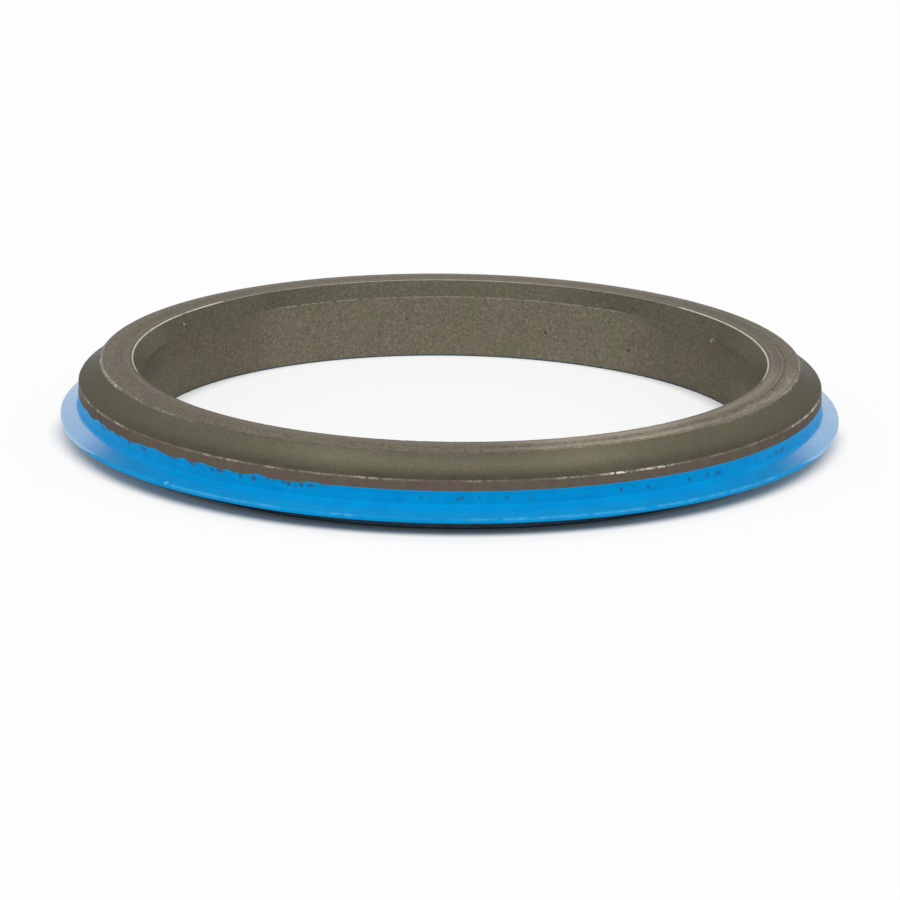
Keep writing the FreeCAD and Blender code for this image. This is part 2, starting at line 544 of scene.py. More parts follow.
# The shared effects, in the order in which they are built: what makes each, its output and its inputs
EFFECTS = {
    "mottle": (mottle, "Value", {"Size": 1.0, "Detail": 3.0, "Contrast": 1.0, "Shift": 0.0}),
    "turning_marks": (turning_marks, "Mark", {"Distance": 0.0, "Pitch": 0.3, "Patch": 9.0}),
    "edge_wear": (edge_wear, "Mask", {
        "Distance": 0.0, "Edge": 0.0, "Width": 0.2, "Cover": 0.7, "Patch": 1.0, "Softness": 0.15}),
    "arc": (arc, "Mask", {"Start": 0.0, "End": 90.0, "Soft": 2.0}),
    "dashes": (dashes, "Mask", {"Radius": 57.7, "Spacing": 0.6, "Size": 0.3, "Share": 0.5}),
    "ragged": (ragged, "Mask", {"Radius": 57.7, "Pitch": 0.8, "Level": 7.4, "Depth": 1.0}),
    "spot": (spot, "Mask", {"Place": (0.0, 0.0, 0.0), "Radius": 0.3}),
}


def build_effects():
    """Makes each shared effect once, as a node group with named inputs and one output."""
    for name, (make, output, inputs) in EFFECTS.items():
        if name in bpy.data.node_groups:
            continue
        tree = bpy.data.node_groups.new(name, "ShaderNodeTree")
        for label, default in inputs.items():
            kind = "NodeSocketVector" if isinstance(default, tuple) else "NodeSocketFloat"
            socket = tree.interface.new_socket(label, in_out="INPUT", socket_type=kind)
            socket.default_value = default
        tree.interface.new_socket(output, in_out="OUTPUT", socket_type="NodeSocketFloat")
        graph = Graph(tree)
        given = graph.add("NodeGroupInput").outputs
        graph.put(make(graph, given), graph.add("NodeGroupOutput").inputs[0])


def new_material(name):
    material = bpy.data.materials.new(name)
    material.use_nodes = True
    material.node_tree.nodes.clear()
    return material, Graph(material.node_tree)


def turned_point(radius, height, degrees):
    """A point on the ring, in millimetres, from its radius, height and angle."""
    turn = math.radians(degrees)
    return radius * math.cos(turn), radius * math.sin(turn), height


# Height of the grain that both materials raise, in metres
GRAIN_HEIGHT = 0.02 * MM

# Clouds and grains of the steel: size in millimetres, detail, contrast, and the shift that picks the pattern
STEEL_MOTTLES = {
    "skin": (6.0, 4.0, 1.8, 0.0),
    "blotches": (1.6, 3.0, 4.0, 47.0),
    "fine": (0.4, 2.0, 3.0, 11.0),
    "coarse": (0.4, 3.0, 3.0, 31.0),
    "patchy": (2.2, 3.0, 1.8, 23.0),
    "flecks": (0.5, 2.0, 3.2, 61.0),
    "wear": (3.0, 3.0, 3.5, 83.0),
}
# Lathe marks: their pitch and the size of their patches, in millimetres
LATHE_MARKS = {"lathe": (0.55, 9.0), "broad": (1.5, 4.0)}
# Faces of the steel: the corners that each lies between, and half the width of its soft borders
STEEL_FACES = {
    "band": ("rim_low", "rim_edge", 0.08),
    "cone": ("rim_edge", "top_outer", 0.08),
    "top_outer": ("top_outer", "top_flat", 0.12),
    "top_inner": ("top_flat", "top_inner", 0.12),
    "lead_in": ("top_inner", "lead_in_foot", 0.08),
    "bore": ("lead_in_foot", "bore_foot", 0.08),
}
# How far the faces that are mostly of one colour cover the mottled skin, and the blotches the band's brown
PLAIN_SHARE = 0.6
BLOTCH_SHARE = 0.85
# How much lighter each face is than the plain skin: the top face is lighter as painted sheen, the cone and
# the bore are darker as painted shade, and the band is darker with its own brown
FACE_TONES = {"top_outer": 0.95, "top_inner": 0.88, "cone": -0.14, "band": -0.2, "bore": -0.08}
# Arcs with a tone of their own: the face, the arc's start and end, and how much lighter it is. The top face
# is lighter across its front and most at its right front, partly as paler skin and partly as painted sheen,
# and at the back. The cone is painted darker in the middle of its front as shade, and lighter just right of
# it as a painted highlight. The bore is lighter at the back, as painted light where it faces the softbox, and
# near its left and right ends. The lead-in is painted darker across its back half as shade
TONE_ARCS = (
    ("top", 283, 352, 0.5),
    ("top", 232, 284, 0.26),
    ("top", 284, 312, 0.95),
    ("top", 50, 130, 0.22),
    ("cone", 257, 285, -0.15),
    ("cone", 286, 300, 0.06),
    ("bore", 50, 130, 0.24),
    ("bore", 155, 200, 0.14),
    ("bore", -20, 18, 0.24),
    ("lead_in", 50, 130, -0.4),
    ("lead_in", 18, 50, -0.26),
    ("lead_in", 130, 160, -0.26),
)
# How much each texture lightens or darkens the skin; the darkening at the border of the top face's two zones
# is a line of painted shade
TEXTURES = {
    "grain": 0.2, "clouds": 0.08, "lathe": 0.28, "streaks": 0.3, "rough": 0.23, "groove": -0.2, "flecks": 0.3,
}
# How much the grain is lost on the cone and the band, and the noise between which the bore's flecks rise
CALMED = 0.6
FLECK_NOISE = (0.8, 1.0)
# The arc of the top face that is streaked by broad lathe marks
STREAKED_ARC = (278, 352)
# Lines round the steel: half the width, how much of the line is there, and the size of its patches. The edge
# lines are partly painted glints, the line at the lead-in's foot is a painted glint, and the lines at the
# bore's foot and along the border of the top face's zones are painted shade
LINES = {
    "top_inner": (0.21, 1.0, 2.5),
    "top_outer": (0.4, 0.52, 0.4),
    "rim_edge": (0.26, 0.62, 0.6),
    "lead_in_foot": (0.12, 0.6, 0.9),
    "bore_foot": (0.34, 1.0, 3.0),
    "groove": (0.16, 0.8, 3.0),
    "score": (0.1, 0.8, 3.0),
}
# Where edges are drawn bare and bright, partly as real wear and partly as painted glints: each arc's start
# and end, and how bare it is there
WORN_AND_GLINT_ARCS = {
    "top_inner": ((-14, 42, 1.0), (42, 138, 0.3), (138, 194, 1.0)),
    "top_outer": ((176, 204, 0.6), (204, 226, 0.26), (316, 362, 0.34), (2, 176, 0.25)),
    "rim_edge": (
        (0, 360, 0.16), (187, 214, 0.36), (230, 252, 0.28), (254.5, 259.5, 0.5), (267, 268.5, 0.4),
        (273, 276.5, 0.4), (285, 288, 0.6), (293, 306, 1.0), (333, 350, 0.6)),
}
# How uneven the worn and glinting edges are, and how bright their brightest parts
UNEVENNESS = {"top_inner": 0.4, "top_outer": 0.8, "rim_edge": 1.1}
BRIGHTEST_WEAR_AND_GLINT = 1.2
# The arc of a painted glint at the foot of the lead-in, at the back, and light scores on the top face with
# their radius first
LEAD_IN_GLINT_ARC = (52, 127, 0.22)
TOP_SCORES = ((51.45, -18, 14, 0.1), (50.5, 165, 195, 0.1), (52.0, 160, 200, 0.07))
# Dark pits and light chips in the bore: their angle, height and size, and how far they cover the skin
BORE_PITS = (
    (52.5, 3.9, 0.26), (71.0, 4.85, 0.24), (98.8, 6.4, 0.2), (83.0, 5.0, 0.12), (151.3, 10.75, 0.2))
BORE_CHIPS = ((29.0, 9.45, 0.34), (28.2, 9.85, 0.26), (151.6, 11.15, 0.28))
PIT_SHARE = 0.75
CHIP_SHARE = 0.3
# Bare steel: how metallic it looks, and how much smoother it is than the skin
BARE_METAL = 0.3
BARE_SMOOTHER = 0.1
# How much the skin's roughness swings, how much of the fine grain is raised, and how strongly
ROUGHNESS_SWING = 0.05
RAISED_GRAIN = 0.5
STEEL_BUMP = 0.35


def steel_faces(graph, along, marks):
    """Masks of the steel's faces: 1 between the corners of each, with soft borders."""
    faces = {}
    for face, (first, last, soft) in STEEL_FACES.items():
        rise = graph.step(along, marks[first] - soft, marks[first] + soft)
        fall = graph.step(along, marks[last] + soft, marks[last] - soft)
        faces[face] = graph.product(rise, fall)
    faces["top"] = graph.math("ADD", faces["top_outer"], faces["top_inner"])
    # The foot under the lip, which takes the painted dark shade colour
    faces["foot"] = graph.step(along, marks["seat_low"], marks["foot_top"])
    return faces


def steel_tone(graph, along, marks, faces, patterns):
    """How light the skin is: each face's tone and the arcs with their own, much of it painted light and
    shade, and the textures, among them a dark line painted as shade on the top face.
    """
    tone = 1.0
    for face, change in FACE_TONES.items():
        tone = graph.math("MULTIPLY_ADD", faces[face], change, tone)
    for face, start, end, change in TONE_ARCS:
        tone = graph.math("MULTIPLY_ADD", faces[face], graph.arc(start, end, change, TONE_ARC_SOFT), tone)
    calm = graph.math("MULTIPLY_ADD", graph.math("ADD", faces["cone"], faces["band"]), -CALMED, 1.0)
    streaked = graph.product(faces["top"], graph.arc(*STREAKED_ARC, soft=TONE_ARC_SOFT))
    turned = graph.largest(faces["top_inner"], streaked)
    textures = {
        "grain": graph.product(graph.swing(patterns["fine"]), calm),
        "clouds": graph.swing(patterns["patchy"]),
        "lathe": graph.product(graph.swing(patterns["lathe"]), turned),
        "streaks": graph.product(graph.swing(patterns["broad"]), streaked),
        "rough": graph.product(graph.swing(patterns["coarse"]), faces["top_outer"]),
        "groove": graph.line(along, marks["top_flat"], *LINES["groove"]),
        "flecks": graph.product(graph.step(patterns["flecks"], *FLECK_NOISE), faces["bore"]),
    }
    texture = 1.0
    for name, pattern in textures.items():
        texture = graph.math("MULTIPLY_ADD", pattern, TEXTURES[name], texture)
    return graph.product(tone, texture)


def bore_spots(graph, sizes, spots):
    """A mask of spots on the bore's wall, whose radius grows up the lead-in."""
    masks = []
    for degrees, height, size in spots:
        up_lead_in = max(0.0, height - HEIGHT + sizes.lead_in_height) / sizes.lead_in_height
        place = turned_point(BORE_RADIUS + up_lead_in * sizes.lead_in_width, height, degrees)
        masks.append(graph.effect("spot", Place=place, Radius=size))
    return graph.largest(*masks)


def steel_wear_and_glints(graph, along, marks, sizes, unevenness):
    """How bare and bright the steel is: along its edges, which are partly worn and partly painted glints, in
    a painted glint at the foot of the lead-in, along its scores, and in the chips of the bore.
    """
    masks = []
    for edge, spans in WORN_AND_GLINT_ARCS.items():
        worn = graph.product(graph.line(along, marks[edge], *LINES[edge]), graph.arcs(spans))
        varied = graph.stretch(unevenness, BRIGHTEST_WEAR_AND_GLINT - UNEVENNESS[edge], BRIGHTEST_WEAR_AND_GLINT)
        masks.append(graph.math("MULTIPLY", worn, varied, clamp=True))
    # A painted glint at the foot of the lead-in, at the back
    lead_in_foot = graph.line(along, marks["lead_in_foot"], *LINES["lead_in_foot"])
    masks.append(graph.product(lead_in_foot, graph.arc(*LEAD_IN_GLINT_ARC)))
    for radius, *span in TOP_SCORES:
        distance = marks["top_inner"] - (radius - BORE_RADIUS - sizes.lead_in_width)
        masks.append(graph.product(graph.line(along, distance, *LINES["score"]), graph.arc(*span)))
    chips = graph.product(bore_spots(graph, sizes, BORE_CHIPS), CHIP_SHARE)
    return graph.largest(*masks, chips)


def steel_material(marks, sizes, finish):
    """Dark treated steel: olive and brown mottling, lathe marks, a tone for each face that is partly painted
    light and shade, edges that are partly worn and partly painted glints, and painted shade on the foot and
    at the bottom of the bore.
    """
    build_effects()
    material, graph = new_material("dark_steel")
    along = graph.along()
    faces = steel_faces(graph, along, marks)
    patterns = {name: graph.mottle(*values) for name, values in STEEL_MOTTLES.items()}
    for name, (pitch, patch) in LATHE_MARKS.items():
        patterns[name] = graph.effect("turning_marks", Distance=along, Pitch=pitch, Patch=patch)

    skin = graph.blend(patterns["skin"], finish.olive, finish.brown)
    for face, colour in (("cone", finish.olive), ("top", finish.brown), ("lead_in", finish.olive)):
        skin = graph.blend(graph.product(faces[face], PLAIN_SHARE), skin, colour)
    blotches = graph.product(patterns["blotches"], BLOTCH_SHARE)
    skin = graph.blend(faces["band"], skin, graph.blend(blotches, finish.band, finish.olive))
    # Painted shade: the foot under the lip, and a line where the bore meets the floor, take the dark bluish
    # foot colour
    skin = graph.blend(faces["foot"], skin, finish.foot)
    skin = graph.blend(graph.line(along, marks["bore_foot"], *LINES["bore_foot"]), skin, finish.foot)
    colour = graph.scaled(skin, steel_tone(graph, along, marks, faces, patterns))
    pits = graph.product(bore_spots(graph, sizes, BORE_PITS), PIT_SHARE)
    colour = graph.blend(pits, colour, finish.pit)
    wear = steel_wear_and_glints(graph, along, marks, sizes, patterns["wear"])
    colour = graph.blend(wear, colour, finish.bare)

    raised = graph.product(patterns["lathe"], faces["top"])
    raised = graph.math("MULTIPLY_ADD", patterns["fine"], RAISED_GRAIN, raised)
    bump = graph.add("ShaderNodeBump", {"Height": raised, "Strength": STEEL_BUMP, "Distance": GRAIN_HEIGHT})
    roughness = graph.math("MULTIPLY_ADD", wear, -BARE_SMOOTHER, finish.roughness)
    roughness = graph.math("MULTIPLY_ADD", graph.swing(patterns["patchy"]), ROUGHNESS_SWING, roughness)
    graph.surface({
        "Base Color": colour,
        "Metallic": graph.stretch(wear, finish.metal, BARE_METAL),
        "Roughness": roughness,
        "Normal": bump.outputs["Normal"],
        "Specular IOR Level": finish.shine,
        "Specular Tint": (finish.grazing, finish.grazing, finish.grazing, 1.0),
    })
    return material


# Clouds, grain and uneven gloss of the lip, given as the steel's mottles are
LIP_MOTTLES = {
    "clouds": (3.0, 3.0, 2.5, 5.0),
    "grain": (0.45, 3.0, 3.0, 9.0),
    "gloss": (0.4, 2.0, 5.0, 71.0),
}
# The noise between which the clouds rise
CLOUD_NOISE = {"low": 0.2, "high": 0.8}
# How far each mark's colour covers the blue
LIP_SHARES = {"clouds": 0.6, "scuffs": 0.35, "nick": 0.8, "specks": 0.6, "stains": 0.6, "hem": 0.45}
# Pale patches on the skirt's rounded edge, partly scuff marks and partly a painted highlight: half the width,
# how much is covered, the size of the patches and their softness
SCUFFS_AND_GLINTS = (0.35, 0.6, 1.5, 0.3)
# Where they lie, and how strong they are elsewhere
SCUFFED_AND_GLINTING_ARCS = ((226, 246), (252, 257), (273, 292), (288, 326))
SCUFFS_AND_GLINTS_ELSEWHERE = 1 / 7
# A light nick in the skirt: its radius, height and angle, and its size
SKIRT_NICK = (60.25, 4.0, 226.0)
NICK_SIZE = 0.35
# Dark specks in the lip's wall, and the arcs where they show
SPECKS = {"Spacing": 1.2, "Size": 0.62, "Share": 0.75}
SPECK_ARCS = ((229, 251), (263, 267), (270, 282), (294, 302), (307, 318), (323, 332), (336, 346))
# The heights where their row starts and ends, and the arc where it stands higher, and by how much
ROW_START = (5.6, 5.95)
ROW_END = (6.75, 6.35)
HIGH_SPECKS_ARC = (222, 252)
SPECKS_RISE = 0.6
# The arc where the blue's upper edge is ragged, and the notches that brown shows in
RAGGED_ARC = (182, 252)
NOTCHES = {"Pitch": 1.9, "Level": SEAT_TOP + 0.05, "Depth": 0.9}
# The heights between which they end under the film, and how far the brown hem reaches below the film's top
NOTCH_END = (SEAT_TOP + 0.02, SEAT_TOP - 0.06)
HEM = 0.14
# The skirt's gloss, at the sides and in front: where it starts, measured from the edge, where it is full,
# measured from the root, and how strong it is
GLOSS_START = (-0.75, 0.02)
GLOSS_FULL = (-0.5, -1.5)
GLOSS_SHARE = (1.0, 0.22)
# Over what distance it rises, where it ends, measured from the root, and its share where it is weakest
GLOSS_RISE = 0.17
GLOSS_END = -0.1
WEAKEST_GLOSS = 0.78
# The front of the skirt: its arc, half the width of its soft ends, and how far into them the gloss already
# starts as in front
FRONT_ARC = (215.0, 325.0)
FRONT_SOFT = 18.0
FRONT_REACHED = 0.25
# How much the lip's roughness swings, and how strongly its grain is raised
LIP_ROUGHNESS_SWING = 0.06
LIP_BUMP = 0.3


def skirt_gloss(graph, along, marks, patches):
    """How glossy the skirt is: full on its slope, weaker and narrower in front, and slightly uneven."""
    edge, root = marks["edge_high"], marks["root"]
    front = graph.arc(*FRONT_ARC, soft=FRONT_SOFT)
    start = graph.stretch(front, *[edge + offset for offset in GLOSS_START], high=FRONT_REACHED)
    full = graph.stretch(front, *[root + offset for offset in GLOSS_FULL])
    return graph.product(
        graph.step(along, start, graph.math("ADD", start, GLOSS_RISE)),
        graph.step(along, root + GLOSS_END, full),
        graph.stretch(patches, WEAKEST_GLOSS, 1.0),
        graph.stretch(front, *GLOSS_SHARE),
    )


def lip_material(marks, sizes, finish):
    """Bright blue elastomer: a satin wall with specks, a smoother skirt, and a ragged, stained upper edge."""
    build_effects()
    material, graph = new_material("blue_lip")
    along = graph.along()
    height = graph.coordinates()["Z"]
    patterns = {name: graph.mottle(*values) for name, values in LIP_MOTTLES.items()}
    wall = RIM_RADIUS - sizes.wall_step

    clouds = graph.stretch(patterns["clouds"], 0.0, 1.0, **CLOUD_NOISE)
    scuffed_and_glinting = graph.largest(graph.arcs(SCUFFED_AND_GLINTING_ARCS, LIP_ARC_SOFT), SCUFFS_AND_GLINTS_ELSEWHERE)
    scuffs = graph.product(graph.line(along, marks["edge_high"], *SCUFFS_AND_GLINTS), scuffed_and_glinting)
    nick = graph.effect("spot", Place=turned_point(*SKIRT_NICK), Radius=NICK_SIZE)
    high_specks = graph.arc(*HIGH_SPECKS_ARC, soft=LIP_ARC_SOFT)
    lowered = graph.math("MULTIPLY_ADD", high_specks, -SPECKS_RISE, height)
    row = graph.product(graph.step(lowered, *ROW_START), graph.step(lowered, *ROW_END))
    dark_arcs = graph.arcs(SPECK_ARCS, LIP_ARC_SOFT)
    specks = graph.product(graph.effect("dashes", Radius=wall, **SPECKS), row, dark_arcs)
    notches = graph.effect("ragged", Radius=wall, **NOTCHES)
    ragged_arc = graph.arc(*RAGGED_ARC, soft=LIP_ARC_SOFT)
    stains = graph.product(notches, ragged_arc, graph.step(height, *NOTCH_END))
    hem = graph.step(along, marks["film_top"] - HEM, marks["film_top"])
    layers = (
        ("clouds", clouds, finish.deep_blue), ("scuffs", scuffs, finish.pale_blue),
        ("nick", nick, finish.pale_blue), ("specks", specks, finish.speck),
        ("stains", stains, finish.stain), ("hem", hem, finish.stain))
    colour = finish.blue
    for name, mask, over in layers:
        colour = graph.blend(graph.product(mask, LIP_SHARES[name]), colour, over)

    grain = patterns["grain"]
    bump = graph.add("ShaderNodeBump", {"Height": grain, "Strength": LIP_BUMP, "Distance": GRAIN_HEIGHT})
    graph.surface({
        "Base Color": colour,
        "Roughness": graph.math("MULTIPLY_ADD", graph.swing(grain), LIP_ROUGHNESS_SWING, finish.roughness),
        "Normal": bump.outputs["Normal"],
        "Specular IOR Level": finish.shine,
        "Specular Tint": finish.tint,
        "Coat Weight": skirt_gloss(graph, along, marks, patterns["gloss"]),
        "Coat IOR": finish.skirt_gloss,
        "Coat Roughness": finish.skirt_roughness,
    })
    return material


# Rows of points inside the hollow cone
CONE_ROWS = 10


def hollow_side(start, end, hollow, count):
    """Points inside a side that is bowed inwards: the straight line, moved in by 4 hollow t (1 - t)."""
    shares = np.linspace(0, 1, count + 2)[1:-1, None]
    direction = unit(end - start)
    into = np.array([-direction[1], direction[0]])
    return start + shares * (end - start) + 4 * hollow * shares * (1 - shares) * into


def steel_corners(sizes):
    """Corners of the steel's half section, up the outside from the base and down the bore."""
    top_inner = BORE_RADIUS + sizes.lead_in_width
    top_flat = top_inner + sizes.flat_width
    top_outer = top_inner + sizes.top_width
    outer_height = HEIGHT - sizes.top_fall
    rim_edge = np.array([RIM_RADIUS, sizes.rim_height])
    cone_top = np.array([top_outer, outer_height])
    cone = hollow_side(rim_edge, cone_top, sizes.cone_hollow, CONE_ROWS)
    return [
        Corner("base_outer", sizes.foot_radius, 0, 0.25, 3, 2),
        Corner("foot_top", sizes.foot_radius, SEAT_BOTTOM),
        Corner("seat_low", sizes.seat_radius, SEAT_BOTTOM),
        Corner("seat_high", sizes.seat_radius, SEAT_TOP),
        Corner("rim_low", RIM_RADIUS, SEAT_TOP, side_rows=4),
        Corner("rim_edge", RIM_RADIUS, sizes.rim_height, 0.16, 5),
        *[Corner(f"cone_{i}", radius, height) for i, (radius, height) in enumerate(cone)],
        Corner("top_outer", top_outer, outer_height, sizes.outer_edge_round, 7, 4),
        Corner("top_flat", top_flat, HEIGHT, 0.5, 3, 5),
        Corner("top_inner", top_inner, HEIGHT, 0.12, 5, 3),
        Corner("lead_in_foot", BORE_RADIUS, HEIGHT - sizes.lead_in_height, 0.15, 3, 8),
        Corner("bore_foot", BORE_RADIUS, 0, 0.25, 3, 2),
    ]


# Heights where the lip's wall bends out to its film over the rim, and where the film starts
FILM_BEND = SEAT_TOP - 0.3
FILM_LOW = SEAT_TOP - 0.05
# Less than the step from the lip's wall to the rim
SMALL_GAP = 0.01


def lip_corners(sizes):
    """Corners of the lip's half section, out along its underside, up its outside and back along the steel."""
    wall = RIM_RADIUS - sizes.wall_step
    film = RIM_RADIUS + sizes.film_thickness
    return [
        Corner("seat_low", sizes.seat_radius, SEAT_BOTTOM, side_rows=4),
        Corner("edge_low", LIP_RADIUS, sizes.skirt_edge - sizes.skirt_thickness, 0.12, 4, 2),
        Corner("edge_high", LIP_RADIUS, sizes.skirt_edge, 0.14, 5, 8),
        Corner("root", wall, sizes.skirt_root, 0.5, 6, 5),
        Corner("film_start", wall, FILM_BEND),
        Corner("film_low", film, FILM_LOW, side_rows=4),
        Corner("film_top", film, sizes.film_height, 0.03, 3),
        Corner("film_back", RIM_RADIUS, sizes.film_height),
        Corner("rim_low", RIM_RADIUS, SEAT_TOP),
        Corner("seat_high", sizes.seat_radius, SEAT_TOP),
    ]


# Small dents in the steel's edges: how many, and the least and most of how far each lies off its edge,
# its length along the section, its width round the ring and its depth
DENT_SEED = 7
DENT_EDGES = ("rim_edge", "top_outer", "top_inner")
DENTS = 260
DENT_OFFSETS = (-0.05, 0.05)
DENT_LENGTHS = (0.08, 0.2)
DENT_WIDTHS = (0.15, 0.7)
DENT_DEPTHS = (0.005, 0.03)


class SEALING_RING_OT_steel(bpy.types.Operator):
    """Makes the turned steel ring"""

    bl_idname = "sealing_ring.steel"
    bl_label = "Steel ring"

    def execute(self, context):
        sizes = context.scene.ring_sizes
        rows, along, marks = section_rows(steel_corners(sizes))
        angles = ring_angles(sizes.steel_angles)
        draw = np.random.default_rng(DENT_SEED)
        edges = np.array([marks[edge] for edge in DENT_EDGES])
        depth = dents(
            along, angles, RIM_RADIUS,
            places=edges[draw.integers(0, len(edges), DENTS)] + draw.uniform(*DENT_OFFSETS, DENTS),
            turns=draw.uniform(0, 2 * math.pi, DENTS),
            lengths=draw.uniform(*DENT_LENGTHS, DENTS),
            widths=draw.uniform(*DENT_WIDTHS, DENTS),
            depths=draw.uniform(*DENT_DEPTHS, DENTS),
        )
        into = inward(rows)
        radius = rows[:, :1] + depth * into[:, :1]
        height = rows[:, 1:] + depth * into[:, 1:]
        piece = lathe("turned_steel_ring", radius, height, along)
        piece.data.materials.append(steel_material(marks, sizes, context.scene.steel_finish))
        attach(piece, "root")
        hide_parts("steel_ring")
        return {"FINISHED"}


# Fine waves in the film's upper edge: how many are mixed, the fewest and most periods round the ring, and
# how high they are
FILM_SEED = 11
WAVES = 24
WAVE_PERIODS = (20, 240)
WAVE_HEIGHT = 0.06
# Lobes along its ragged arc: how many, the least and most of their width in radians and of their depth,
# the limits of their sum, and the share of it that is kept
LOBES = 110
LOBE_WIDTHS = (0.007, 0.02)
LOBE_DEPTHS = (-0.42, 0.3)
LOBE_LIMITS = (-0.3, 0.28)
LOBE_SHARE = 0.75


def film_edge(angles, level):
    """Height of the film's upper edge at each angle: a level, fine waves, and lobes along the ragged arc.

    It is level + WAVE_HEIGHT mean(sin(periods a + phase)) + LOBE_SHARE clip(sum of the lobes), and each
    lobe is depth exp(-((a - turn) / width)^2).
    """
    draw = np.random.default_rng(FILM_SEED)
    periods = draw.integers(*WAVE_PERIODS, WAVES)
    phases = draw.uniform(0, 2 * math.pi, WAVES)
    waves = np.sin(angles[None] * periods[:, None] + phases[:, None]).mean(axis=0)
    turns = draw.uniform(*np.radians(RAGGED_ARC), LOBES)
    widths = draw.uniform(*LOBE_WIDTHS, LOBES)
    depths = draw.uniform(*LOBE_DEPTHS, LOBES)
    lobes = depths @ np.exp(-((turn_between(angles, turns) / widths[:, None]) ** 2))
    return level + WAVE_HEIGHT * waves + LOBE_SHARE * np.clip(lobes, *LOBE_LIMITS)


class SEALING_RING_OT_lip(bpy.types.Operator):
    """Makes the blue moulded lip, with the thin ragged film where it creeps over the rim"""

    bl_idname = "sealing_ring.lip"
    bl_label = "Sealing lip"

    def execute(self, context):
        sizes = context.scene.ring_sizes
        rows, along, marks = section_rows(lip_corners(sizes))
        angles = ring_angles(sizes.lip_angles)
        lift = film_edge(angles, sizes.film_height) - sizes.film_height
        share = np.clip((rows[:, 1] - FILM_LOW) / (sizes.film_height - FILM_LOW), 0, 1)
        on_film = rows[:, 0] > RIM_RADIUS - SMALL_GAP
        radius = np.repeat(rows[:, :1], len(angles), axis=1)
        height = rows[:, 1:] + np.where(on_film, share, 0)[:, None] * lift[None]
        piece = lathe("blue_sealing_lip", radius, height, along)
        piece.data.materials.append(lip_material(marks, sizes, context.scene.lip_finish))
        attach(piece, "root")
        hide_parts("sealing_lip")
        return {"FINISHED"}


# Where the foot of the ring's axis stands in the photo's frame, and that frame's middle, in pixels
FOOT_PIXEL = (449.43, 433.5)
MIDDLE_PIXEL = (450.0, 450.0)
FRAME_PIXELS = 900
SENSOR_WIDTH = 36.0
# How far the floor reaches from the ring's axis, in metres
FLOOR_REACH = 3.0


def camera_matrix(settings):
    """The camera's place and turn: it looks along +Y and down, rolled, with the axis foot at its pixel."""
    rise, roll = settings.elevation, settings.roll
    right = Vector((1, 0, 0))
    up = Vector((0, math.sin(rise), math.cos(rise)))
    ahead = Vector((0, math.cos(rise), -math.sin(rise)))
    pixels_per_mm = FRAME_PIXELS / SENSOR_WIDTH
    focal = settings.focal_length * pixels_per_mm
    across = (FOOT_PIXEL[0] - MIDDLE_PIXEL[0]) / focal
    down = (FOOT_PIXEL[1] - MIDDLE_PIXEL[1]) / focal
    offset_right = math.cos(roll) * across + math.sin(roll) * down
    offset_up = math.sin(roll) * across - math.cos(roll) * down
    place = -settings.distance * (ahead + offset_right * right + offset_up * up)
    rolled_right = math.cos(roll) * right + math.sin(roll) * up
    rolled_up = math.cos(roll) * up - math.sin(roll) * right
    turn = Matrix((rolled_right, rolled_up, -ahead)).transposed()
    return Matrix.Translation(place) @ turn.to_4x4()


def seen_directly(graph):
    """1 for the rays of the camera, of gloss and of glass, and 0 for light on dull surfaces."""
    rays = graph.add("ShaderNodeLightPath").outputs
    return graph.largest(rays["Is Camera Ray"], rays["Is Glossy Ray"], rays["Is Transmission Ray"])


# The floor by its distance from the axis: inside the bore, next to the foot, where it is painted darker as
# shade, and where the painted hue of the shadow gives way to the floor's
BORE_FLOOR = BORE_RADIUS + 0.5
FOOT_SHADE_SPAN = (52.7, 54.6)
SHADOW_COLOUR_END = (LIP_RADIUS - 3.0, LIP_RADIUS + 1.0)
# How light the painted shade next to the foot leaves the floor, against the open floor
FOOT_SHADE_LIGHT = 0.6
# The shadow inside the bore: where it starts, its width at the sides, how much narrower it is in front, and
# the share of white past it
BORE_SHADOW_START = BORE_RADIUS + 0.7
BORE_SHADOW_WIDTH = 5.7
BORE_SHADOW_FRONT = 5.0
BORE_WHITE = 0.8
FLOOR_ROUGHNESS = 0.9


